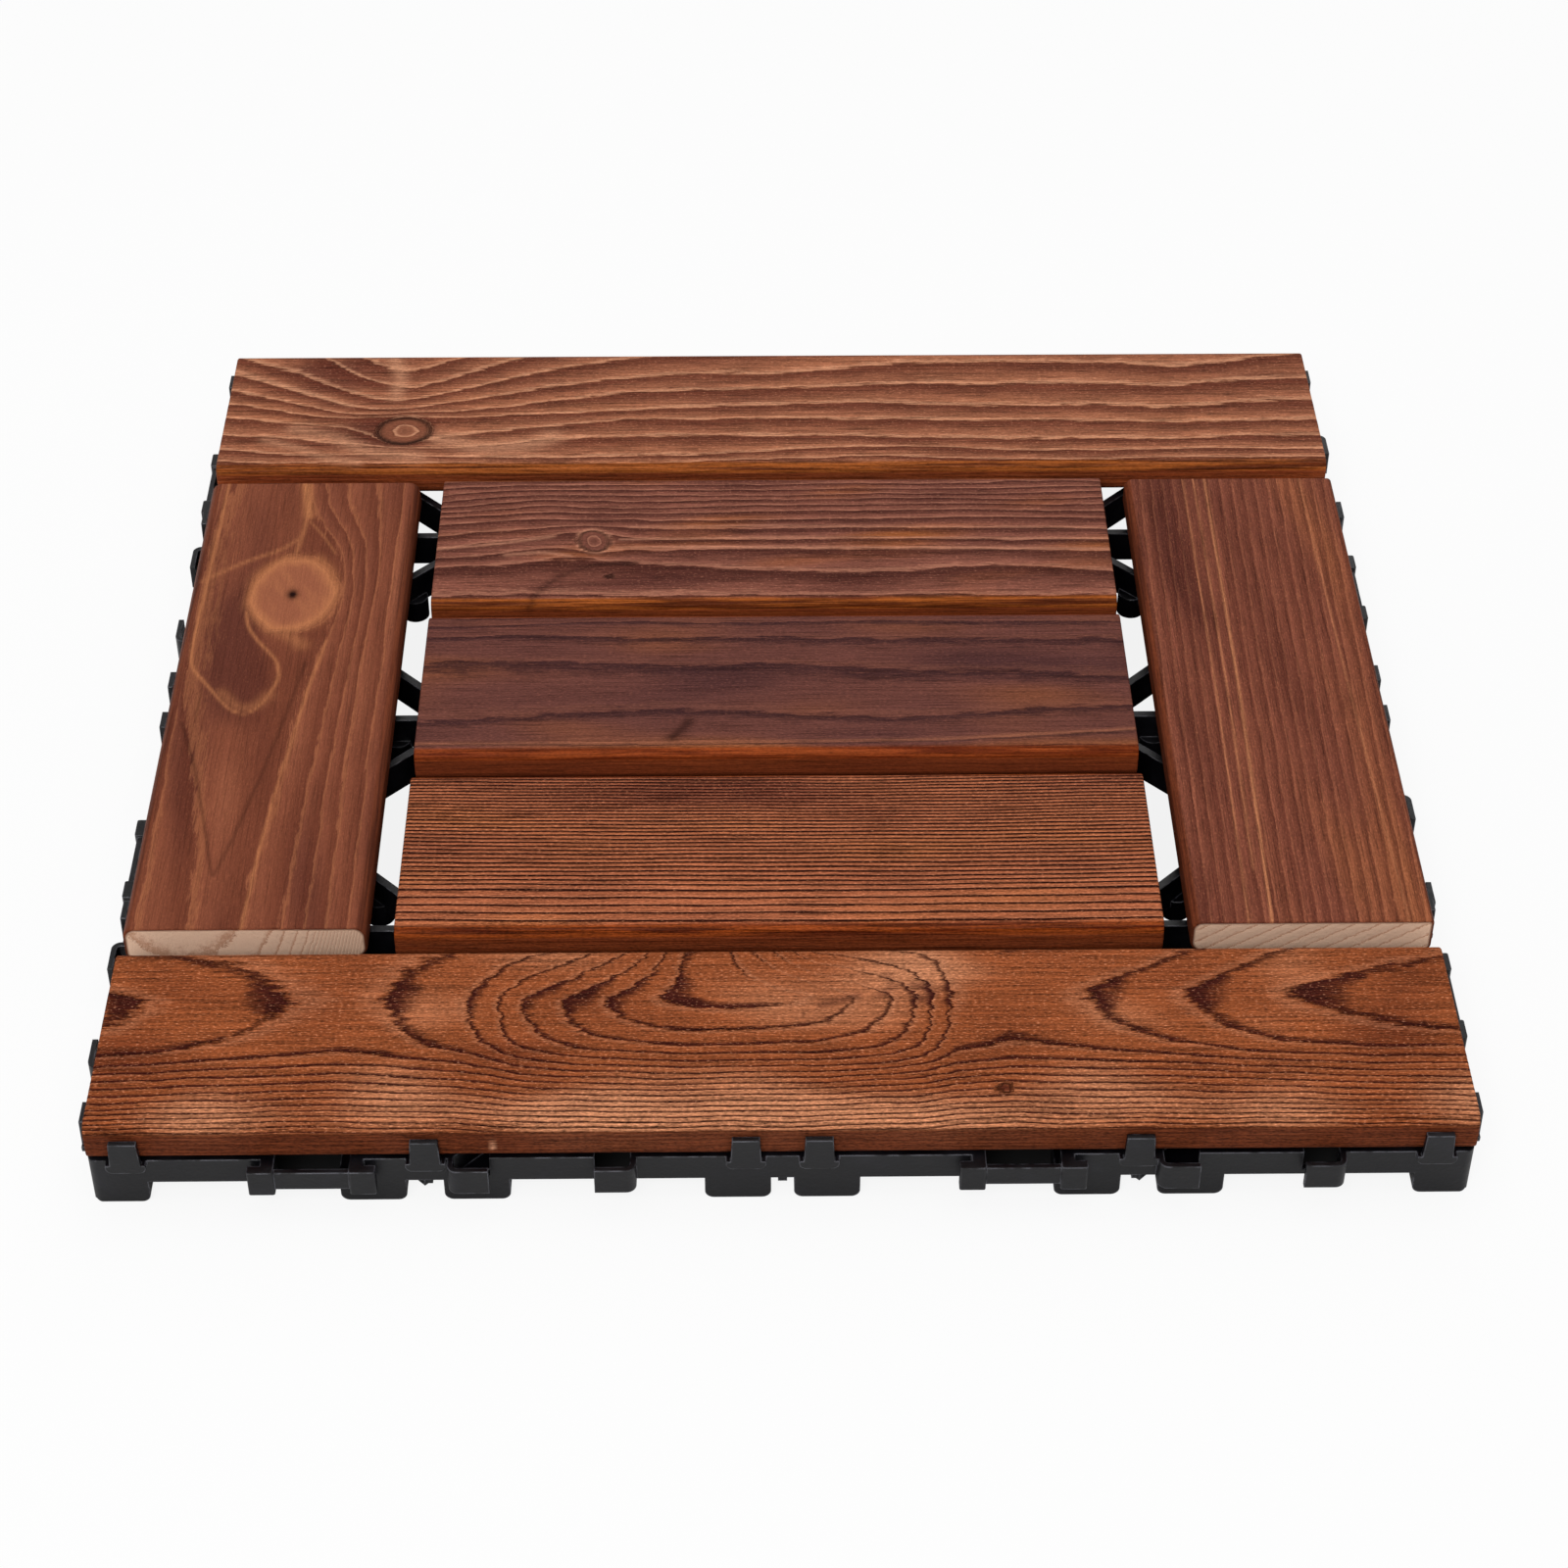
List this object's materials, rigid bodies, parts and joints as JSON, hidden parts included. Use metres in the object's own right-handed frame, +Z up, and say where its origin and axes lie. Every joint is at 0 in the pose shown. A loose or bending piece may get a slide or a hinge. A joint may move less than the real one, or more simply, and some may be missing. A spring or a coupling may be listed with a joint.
{
  "type": "interlocking deck tile",
  "caption": "Square deck tile of brown softwood planks screwed to a black plastic grid, whose feet, tabs, loops and catches join it to the next tile.",
  "frame": {"origin": "centre of the tile, on the plane that its feet stand on", "axes": "+Z up through the planks; +X to the right and +Y to the back as pictured, so the two full width planks run along X"},
  "size_m": [0.3082, 0.3082, 0.0228],
  "materials": {
    "grid_plastic": "moulded black plastic, slightly glossy on ridges",
    "plank_wood": "brushed carbonised softwood, oiled reddish brown",
    "screw_steel": "zinc plated steel"
  },
  "bodies": {
    "root": {"base_grid": "grid_plastic", "back_plank": "plank_wood", "front_plank": "plank_wood", "left_side_plank": "plank_wood", "right_side_plank": "plank_wood", "middle_back_plank": "plank_wood", "middle_centre_plank": "plank_wood", "middle_front_plank": "plank_wood", "plank_screws": "screw_steel"}
  },
  "joints": []
}
